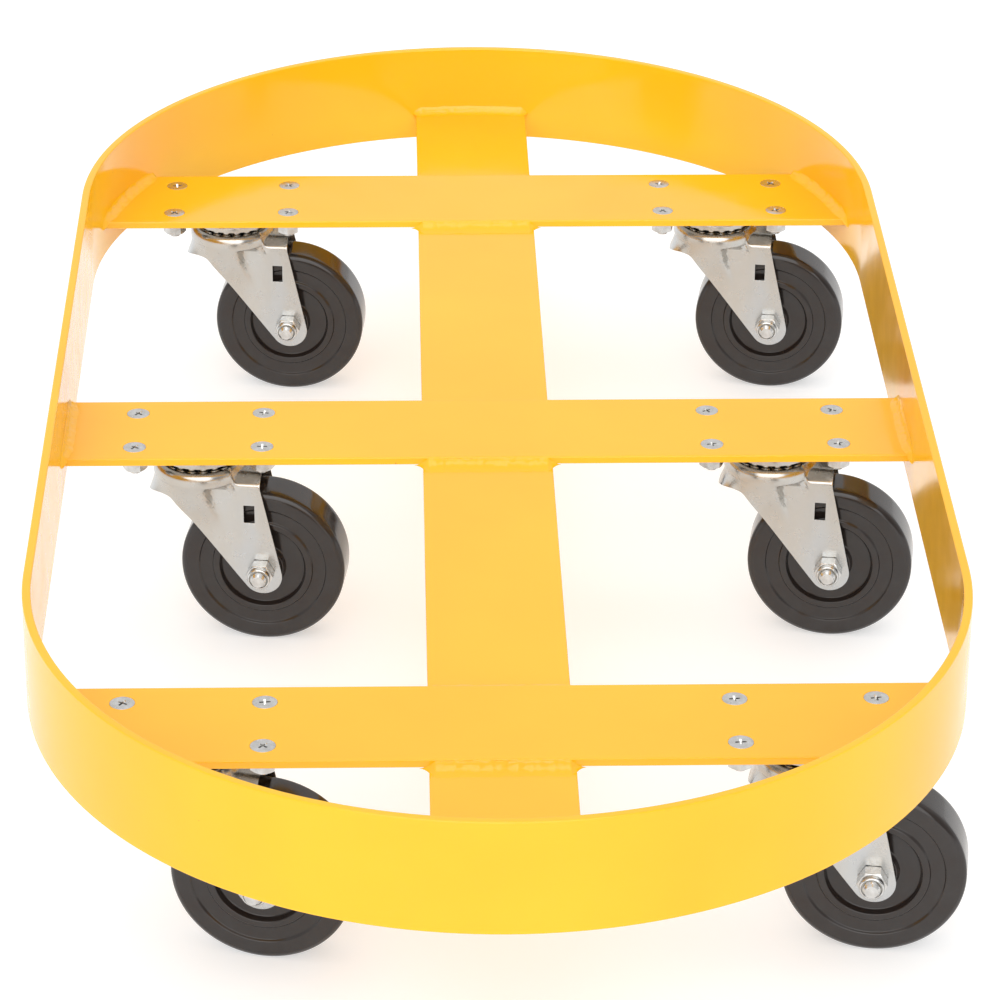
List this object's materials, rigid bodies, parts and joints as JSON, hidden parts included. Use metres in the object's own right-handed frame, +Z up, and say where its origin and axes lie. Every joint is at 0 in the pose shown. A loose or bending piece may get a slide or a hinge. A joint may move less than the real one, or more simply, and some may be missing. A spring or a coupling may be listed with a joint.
{
  "type": "tandem drum dolly",
  "caption": "Long racetrack-shaped steel dolly with a raised rim, flat cross bars and swivel casters, for rolling two drums standing end to end.",
  "frame": {"origin": "on the floor under the middle of the dolly", "axes": "+X across the dolly to the right, +Y along it to the rear, +Z up"},
  "size_m": [0.5126, 1.016, 0.1746],
  "materials": {
    "yellow_coat": "glossy yellow powder coat over welded flat bar",
    "zinc_plate": "bright zinc plate on pressed steel",
    "bright_steel": "bright plated fasteners and bearing balls",
    "hard_rubber": "hard, moulded, brown-black rubber with a low gloss"
  },
  "bodies": {
    "frame": {"rim": "yellow_coat", "centre_bar": "yellow_coat", "cross_bar_front": "yellow_coat", "cross_bar_middle": "yellow_coat", "cross_bar_rear": "yellow_coat", "front_left_top_plate": "zinc_plate", "front_left_kingpin": "zinc_plate", "front_left_lower_race": "zinc_plate", "front_right_top_plate": "zinc_plate", "front_right_kingpin": "zinc_plate", "front_right_lower_race": "zinc_plate", "middle_left_top_plate": "zinc_plate", "middle_left_kingpin": "zinc_plate", "middle_left_lower_race": "zinc_plate", "middle_right_top_plate": "zinc_plate", "middle_right_kingpin": "zinc_plate", "middle_right_lower_race": "zinc_plate", "rear_left_top_plate": "zinc_plate", "rear_left_kingpin": "zinc_plate", "rear_left_lower_race": "zinc_plate", "rear_right_top_plate": "zinc_plate", "rear_right_kingpin": "zinc_plate", "rear_right_lower_race": "zinc_plate"},
    "front_left_swivel": {"front_left_fork": "zinc_plate", "front_left_ball_ring": "bright_steel", "front_left_axle_sleeve": "bright_steel", "front_left_axle_bolt": "bright_steel", "front_left_axle_nut": "bright_steel"},
    "front_left_wheel": {"front_left_wheel": "hard_rubber"},
    "front_right_swivel": {"front_right_fork": "zinc_plate", "front_right_ball_ring": "bright_steel", "front_right_axle_sleeve": "bright_steel", "front_right_axle_bolt": "bright_steel", "front_right_axle_nut": "bright_steel"},
    "front_right_wheel": {"front_right_wheel": "hard_rubber"},
    "middle_left_swivel": {"middle_left_fork": "zinc_plate", "middle_left_ball_ring": "bright_steel", "middle_left_axle_sleeve": "bright_steel", "middle_left_axle_bolt": "bright_steel", "middle_left_axle_nut": "bright_steel"},
    "middle_left_wheel": {"middle_left_wheel": "hard_rubber"},
    "middle_right_swivel": {"middle_right_fork": "zinc_plate", "middle_right_ball_ring": "bright_steel", "middle_right_axle_sleeve": "bright_steel", "middle_right_axle_bolt": "bright_steel", "middle_right_axle_nut": "bright_steel"},
    "middle_right_wheel": {"middle_right_wheel": "hard_rubber"},
    "rear_left_swivel": {"rear_left_fork": "zinc_plate", "rear_left_ball_ring": "bright_steel", "rear_left_axle_sleeve": "bright_steel", "rear_left_axle_bolt": "bright_steel", "rear_left_axle_nut": "bright_steel"},
    "rear_left_wheel": {"rear_left_wheel": "hard_rubber"},
    "rear_right_swivel": {"rear_right_fork": "zinc_plate", "rear_right_ball_ring": "bright_steel", "rear_right_axle_sleeve": "bright_steel", "rear_right_axle_bolt": "bright_steel", "rear_right_axle_nut": "bright_steel"},
    "rear_right_wheel": {"rear_right_wheel": "hard_rubber"}
  },
  "joints": [
    {"name": "front_left_swivel", "type": "hinge", "parent": "frame", "child": "front_left_swivel", "pos_m": [-0.1614, -0.3417, 0.1158], "axis": [0, 0, 1], "continuous": true},
    {"name": "front_left_spin", "type": "hinge", "parent": "front_left_swivel", "child": "front_left_wheel", "pos_m": [-0.12413, -0.34962, 0.0493], "axis": [0.2079, 0.9781, 0], "continuous": true},
    {"name": "front_right_swivel", "type": "hinge", "parent": "frame", "child": "front_right_swivel", "pos_m": [0.1614, -0.3417, 0.1158], "axis": [0, 0, 1], "continuous": true},
    {"name": "front_right_spin", "type": "hinge", "parent": "front_right_swivel", "child": "front_right_wheel", "pos_m": [0.19903, -0.34766, 0.0493], "axis": [0.1564, 0.9877, 0], "continuous": true},
    {"name": "middle_left_swivel", "type": "hinge", "parent": "frame", "child": "middle_left_swivel", "pos_m": [-0.1702, 0, 0.1158], "axis": [0, 0, 1], "continuous": true},
    {"name": "middle_left_spin", "type": "hinge", "parent": "middle_left_swivel", "child": "middle_left_wheel", "pos_m": [-0.13243, -0.00497, 0.0493], "axis": [0.1305, 0.9914, 0], "continuous": true},
    {"name": "middle_right_swivel", "type": "hinge", "parent": "frame", "child": "middle_right_swivel", "pos_m": [0.1702, 0, 0.1158], "axis": [0, 0, 1], "continuous": true},
    {"name": "middle_right_spin", "type": "hinge", "parent": "middle_right_swivel", "child": "middle_right_wheel", "pos_m": [0.20783, -0.00596, 0.0493], "axis": [0.1564, 0.9877, 0], "continuous": true},
    {"name": "rear_left_swivel", "type": "hinge", "parent": "frame", "child": "rear_left_swivel", "pos_m": [-0.1614, 0.3417, 0.1158], "axis": [0, 0, 1], "continuous": true},
    {"name": "rear_left_spin", "type": "hinge", "parent": "rear_left_swivel", "child": "rear_left_wheel", "pos_m": [-0.12348, 0.33805, 0.0493], "axis": [0.0958, 0.9954, 0], "continuous": true},
    {"name": "rear_right_swivel", "type": "hinge", "parent": "frame", "child": "rear_right_swivel", "pos_m": [0.1614, 0.3417, 0.1158], "axis": [0, 0, 1], "continuous": true},
    {"name": "rear_right_spin", "type": "hinge", "parent": "rear_right_swivel", "child": "rear_right_wheel", "pos_m": [0.19908, 0.33607, 0.0493], "axis": [0.1478, 0.989, 0], "continuous": true}
  ]
}
